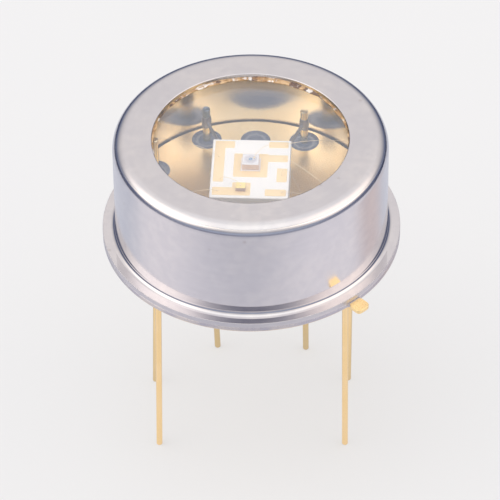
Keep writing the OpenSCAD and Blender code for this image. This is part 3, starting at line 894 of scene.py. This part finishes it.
SLABS = {
    "carrier": ("carrier_plate", 0.03, alumina, "alumina"),
    "cooler_cold_plate": ("cold_plate", 0.03, alumina, "alumina"),
    "cooler_hot_plate": ("hot_plate", 0.03, alumina, "alumina"),
    "chip": ("chip_die", 0.015, silicon, "silicon"),
    "chip_bond": ("chip_layer", 0.01, bonding_metal, "bonding_metal"),
    "temperature_sensor": ("sensor_die", 0.008, sensor_oxide, "sensor_oxide"),
    "temperature_sensor_top": ("sensor_metal", 0.006, sensor_gold, "gold_film"),
}
for node, (name, edge, finish, slot) in SLABS.items():
    piece(name, slab(*box_mm(node), edge), finish, slot, node)

# %% [markdown]
# The cooler's straps and pellets are small blocks deep in the can, and the contact ring is a thin film
# on the chip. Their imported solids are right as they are, so they stay and only take a finish.

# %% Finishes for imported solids
KEPT = {
    "cooler_lower_straps": copper, "cooler_upper_straps": copper,
    "cooler_n_pellets": n_pellet, "cooler_p_pellets": p_pellet, "chip_contact": contact_metal,
}
for name, finish in KEPT.items():
    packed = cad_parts[name]
    packed.data.materials.clear()
    packed.data.materials.append(finish)
print("packed solids with a finish:", sorted(KEPT))

# %% [markdown]
# The gold pattern is a printed film. It could be a mask in the ceramic's material, but a film has a
# thickness whose edge catches light. Printing rounds its corners and thins it towards the edge, so each
# outline is rounded and lofted through a few steps.

# %% Gold pattern
film_low, film_high = box_mm("trace_anode")
PAD, EDGE_X, EDGE_BACK = film_low[0], film_high[0], film_high[1]
EDGE_FRONT, BAR = box_mm("trace_spare")[0][1], box_mm("trace_ground")[0][0]
FILM_LOW, FILM_TOP, FILM_CORNER = film_low[2], film_high[2], 0.07
FILM_STEPS = [(0, FILM_LOW), (0.004, FILM_LOW + 0.012), (0.015, FILM_TOP - 0.002), (0.03, FILM_TOP)]
FILMS = {name: corners(*box_mm(f"trace_{name}")) for name in ("anode", "ground", "spare")}
FILMS["cathode"] = [
    (-PAD, -0.92), (PAD, -0.92), (PAD, 0.28), (EDGE_X, 0.28),
    (EDGE_X, 0.8), (PAD, 0.8), (PAD, PAD), (-PAD, PAD),
]
FILMS["sensor_top"] = [
    (-EDGE_X, -1.32), (-BAR, -1.32), (-BAR, 1.3), (-PAD, 1.3), (-PAD, EDGE_BACK), (-EDGE_X, EDGE_BACK),
]
FILMS["sensor_base"] = [
    (-EDGE_X, EDGE_FRONT), (0.06, EDGE_FRONT), (0.06, -1.36),
    (-PAD, -1.36), (-PAD, -1.74), (-EDGE_X, -1.74),
]
for name, outline in FILMS.items():
    film = layered(rounded(outline, FILM_CORNER), FILM_STEPS)
    piece(f"film_{name}", film, gold_film, "gold_film", f"trace_{name}")

# %% [markdown]
# A bond wire starts in a flattened ball, rises, arches over and is pressed flat at its far end. A
# hand-drawn curve would do for one wire. For eight, half an ellipse that stands on the straight line
# between the two bonds gives each its arch from a start, an end and a rise.

# %% Bond wires
WIRE_R, WIRE_STEPS, FLATTENED = 0.011, 48, (1.05, 1.2, 1.45, 1.6)
BALL_R, BALL_H, WIRE_SIDES, BALL_SIDES = 0.045, 0.045, 14, 20
BALL = ((0, 0), (1, 0), (1.08, 0.4), (0.85, 0.85), (0, 1.1))
PAD_EDGE = EDGE_X - 0.22
CHIP_BOND = (0.18, 0.09, box_mm("chip_contact")[1][2])
SENSOR_BOND = (-0.43, -1.83, box_mm("temperature_sensor_top")[1][2])


def post(name, shift=0):
    x, y = PLACES[name]
    return (x, y + shift, POST_TOP)


WIRES = {
    "anode": (CHIP_BOND, (PAD + 0.1, EDGE_BACK - 0.38, FILM_TOP), 0.3),
    "sensor": (SENSOR_BOND, (0.37 - EDGE_X, -1.12, FILM_TOP), 0.25),
    "sensor_top": ((-PAD_EDGE, 0.6, FILM_TOP), post("mid_left"), 0.35),
    "sensor_base": ((0.27 - EDGE_X, EDGE_FRONT + 0.29, FILM_TOP), post("front_left"), 0.3),
    "anode_lead": ((PAD_EDGE, EDGE_BACK - 0.33, FILM_TOP), post("mid_right"), 0.3),
    "cathode_lead": ((PAD_EDGE, 0.54, FILM_TOP), post("front_right", 0.08), 0.35),
    "spare_lead": ((PAD_EDGE, EDGE_FRONT + 0.24, FILM_TOP), post("front_right", -0.08), 0.3),
    "ground": ((EDGE_X - 0.27, -0.74, FILM_TOP), (2.9, -0.84, PLATFORM_Z), 1.1),
}
turns = [math.pi * k / WIRE_STEPS for k in range(WIRE_STEPS + 1)]
radii = [WIRE_R] * (len(turns) - len(FLATTENED)) + [WIRE_R * f for f in FLATTENED]
for name, (start, end, rise) in WIRES.items():
    start, span = Vector(start), Vector(end) - Vector(start)
    path = [start + span * (1 - math.cos(t)) / 2 + Vector((0, 0, rise * math.sin(t))) for t in turns]
    wire = swept(path, radii, WIRE_SIDES)
    ball = [(BALL_R * r, start.z + BALL_H * h) for r, h in BALL]
    turned(ball, BALL_SIDES, at=(start.x, start.y), bm=wire)
    piece(f"bond_wire_{name}", wire, bond_gold, "gold_film", f"wire_{name}", crisp=50)

# %% [markdown]
# Two tinned wires feed the cooler. Each is soldered to a back post in a bead, and to its pad on the
# cooler in a low cone. Solder is never quite round, so a swell function makes the turned beads and
# cones a little lumpy.

# %% Supply wires
SUPPLY_R, SUPPLY_X, SUPPLY_Y, SUPPLY_Z, PAD_Z, PAD_LIFT = 0.085, 1.0, 2.07, 2.65, 2.0, 0.12
BEAD_R, BEAD_H, BEAD_BORE, CONE_R, CONE_H = 0.25, 0.7, POST_R - 0.02, 0.34, 0.2
STEPS, SUPPLY_SIDES, JOINT_SIDES, SWING = 20, 20, 40, 84


def lumpy(a, r, z):
    return r * (1 + 0.05 * math.sin(2 * a + 0.6) + 0.03 * math.sin(3 * a + 5 * z))


swing = [math.radians(-SWING + 2 * SWING * k / STEPS) for k in range(STEPS + 1)]
belly = [
    (POST_R + (BEAD_R - POST_R) * math.cos(t) ** 1.3, SUPPLY_Z + BEAD_H / 2 * math.sin(t)) for t in swing
]
blob = [(BEAD_BORE, SUPPLY_Z - BEAD_H / 2), *belly, (BEAD_BORE, SUPPLY_Z + BEAD_H / 2)]
cone = [
    (0, PAD_Z), (CONE_R, PAD_Z), (CONE_R - 0.1, PAD_Z + 0.07),
    (CONE_R - 0.17, PAD_Z + CONE_H), (0, PAD_Z + CONE_H),
]
for side, name in ((-1, "left"), (1, "right")):
    top = Vector((side * PITCH, 2 * PITCH, SUPPLY_Z))
    foot_end = Vector((side * SUPPLY_X, SUPPLY_Y, PAD_Z + PAD_LIFT))
    path = [top.lerp(foot_end, k / STEPS) for k in range(STEPS + 1)]
    wire = swept(path, [SUPPLY_R] * len(path), SUPPLY_SIDES)
    piece(f"tinned_wire_{name}", wire, solder, "solder", f"supply_wire_{name}", crisp=50)
    joint = turned(blob, JOINT_SIDES, at=(side * PITCH, 2 * PITCH), closed=True, swell=lumpy)
    turned(cone, JOINT_SIDES, at=(side * SUPPLY_X, SUPPLY_Y), swell=lumpy, bm=joint)
    piece(f"solder_bead_{name}", joint, solder, "solder", f"supply_solder_{name}", crisp=60)

# %% [markdown]
# Polished metal shows whatever is round it, so the studio is part of its look. A picture of a room
# could light the part, but lights that are worked out can be moved one at a time until the bands on the
# metal are right. Each is a soft-edged spot with a heading and a height in degrees, the sizes of its
# core and its edge, a squash that flattens it, and a colour.

# %% Soft lights
def lit(tree, outward, colour, lights):
    """Lays soft-edged lights over a colour, one after the other."""
    for heading, height, core, edge, squash, light in lights.values():
        off = put(tree, "VectorMath", {"operation": "SUBTRACT"}, Vector=outward)
        off.inputs[1].default_value = toward(AZIMUTH + math.radians(heading), math.radians(height))
        off = put(tree, "VectorMath", {"operation": "MULTIPLY"}, Vector=off.outputs["Vector"])
        off.inputs[1].default_value = (1, 1, squash)
        off = put(tree, "VectorMath", {"operation": "LENGTH"}, Vector=off.outputs["Vector"])
        colour = mixed(tree, ranged(tree, off.outputs["Value"], core, edge, 1.0, 0.0), colour, light)
    return colour


print("lights can be laid over a sky or a floor")

# %% [markdown]
# The sky is a ramp from a dark horizon to a bright ceiling, with a light box at each side, a light
# above the front, a grey wall in front and the dark place where the camera stands. An even grey sky
# would leave the metal flat. The camera itself sees a plain pale ground everywhere.

# %% Sky
PALE = 0.87
ROOM = {
    -0.05: rgb(0.1, 0.13, 0.24), 0.1: rgb(0.14, 0.17, 0.28), 0.3: rgb(0.44, 0.44, 0.48),
    0.5: rgb(0.76, 0.72, 0.71), 0.7: rgb(0.98, 0.93, 0.91), 1.0: rgb(1.12, 1.1, 1.08),
}
LIGHTS = {
    "front wall": (0, 0, 0.7, 1.4, 4, rgb(0.45, 0.5, 0.62)),
    "left box": (-75, 40, 0.3, 0.85, 1.4, rgb(1.95, 1.8, 1.66)),
    "right box": (75, 40, 0.3, 0.85, 1.4, rgb(1.72, 1.54, 1.4)),
    "front light": (0, 60, 0.25, 0.7, 1, rgb(1.35, 1.32, 1.28)),
    "camera": (0, 42, 0.1, 1.0, 15, rgb(0.27, 0.27, 0.34)),
}
sky = bpy.data.worlds.new("studio")
bpy.context.scene.world = sky
sky.use_nodes = True
tree = sky.node_tree
tree.nodes.clear()
outward = put(tree, "TexCoord").outputs["Generated"]
level = maths(tree, "MULTIPLY_ADD", put(tree, "SeparateXYZ", Vector=outward).outputs["Z"], 0.5, 0.5)
ramp = put(tree, "ValToRGB", Fac=level)
for k, (height, colour) in enumerate(ROOM.items()):
    at = (height + 1) / 2
    stop = ramp.color_ramp.elements[k] if k < 2 else ramp.color_ramp.elements.new(at)
    stop.position, stop.color = at, colour
light = put(tree, "Background", Color=lit(tree, outward, ramp.outputs["Color"], LIGHTS), Strength=1.0)
plain = put(tree, "Background", Color=rgb(PALE, PALE, PALE), Strength=1.0)
either(tree, put(tree, "LightPath").outputs["Is Camera Ray"], light, plain, put(tree, "OutputWorld"))
print("sky with", *LIGHTS)

# %% [markdown]
# The part stands on a round white sheet on a wide table. The sheet takes the soft shadow, and a share
# of plain white evens it out, as a bright studio does. To the camera both are the same white. Metal
# sees the table dark, darkest at the back, which draws the thin lines along the cap's edges, and it
# sees the sheet shaded before the part, pale beside it and warm to the right.

# %% Floor
FLOOR_Z = cad_low.z / MM
SHEET_R, TABLE_R, FLOOR_SIDES, EVEN = 85, 900, 96, 0.6
WHITE, BEHIND, DARK = rgb(0.82, 0.825, 0.83), rgb(0.5, 0.54, 0.66), rgb(0.04, 0.05, 0.09)
GLOW = {
    "beside": (0, 0, 1.3, 1.65, 1, rgb(0.88, 0.84, 0.9)),
    "before": (-6, 0, 0.0, 1.12, 1, rgb(0.26, 0.28, 0.38)),
    "right": (105, -28, 0.05, 0.4, 1, rgb(0.6, 0.45, 0.44)),
}
NEAR = {"front": (0, 0, 1.2, 1.8, 1, rgb(0.24, 0.26, 0.34))}


def floor_finish(name, dark):
    made, tree, skin = new_finish(name, Specular_IOR_Level=0.0)
    paper = clouded(tree, rgb(0.8, 0.815, 0.85), rgb(0.79, 0.805, 0.845), 12.0, 0.5)
    place_seen = put(tree, "TexCoord").outputs["Object"]
    outward = put(tree, "VectorMath", {"operation": "NORMALIZE"}, Vector=place_seen).outputs["Vector"]
    path = put(tree, "LightPath").outputs
    shown = maths(tree, "MAXIMUM", path["Is Camera Ray"], path["Is Transmission Ray"])
    if dark:
        paper = mixed(tree, shown, lit(tree, outward, DARK, NEAR), paper)
    else:
        shown = maths(tree, "MAXIMUM", shown, path["Is Glossy Ray"])
    fill(tree, skin.inputs["Base Color"], paper)
    fill(tree, skin.inputs["Roughness"], place(tree, grain, Size=0.4, Low=0.85, High=0.95)["Value"])
    even = mixed(tree, path["Is Glossy Ray"], WHITE, lit(tree, outward, BEHIND, GLOW))
    glow = put(tree, "Emission", Color=even, Strength=1.0)
    either(tree, maths(tree, "MULTIPLY", shown, EVEN), skin, glow, tree.nodes["Material Output"])
    return made


def ring_floor(name, inner, outer, finish):
    made = solid(name, turned([(inner, FLOOR_Z), (outer, FLOOR_Z)], FLOOR_SIDES))
    made.data.materials.append(finish)


ring_floor("white_sheet", 0, SHEET_R, floor_finish("white_paper", False))
ring_floor("table", SHEET_R, TABLE_R, floor_finish("table_top", True))
print("floor at", round(FLOOR_Z, 2), "mm")

# %% [markdown]
# The sky lights the part from everywhere, so one broad lamp overhead gives the light a direction and
# the shadow a soft edge. It is hidden from mirrors: the light boxes in the sky already stand for what
# the metal shows.

# %% Lamp
LAMP_SIDE, LAMP_POWER, LAMP_AT = 0.5, 0.45, (-0.15, -0.05, 0.6)
lamp = bpy.data.lights.new("softbox", "AREA")
lamp.shape, lamp.size, lamp.energy = "SQUARE", LAMP_SIDE, LAMP_POWER
softbox = bpy.data.objects.new("softbox", lamp)
softbox.location = LAMP_AT
softbox.rotation_euler = Vector(LAMP_AT).to_track_quat("Z", "Y").to_euler()
softbox.visible_glossy = False
bpy.context.scene.collection.objects.link(softbox)
print("lamp of", LAMP_POWER, "W")
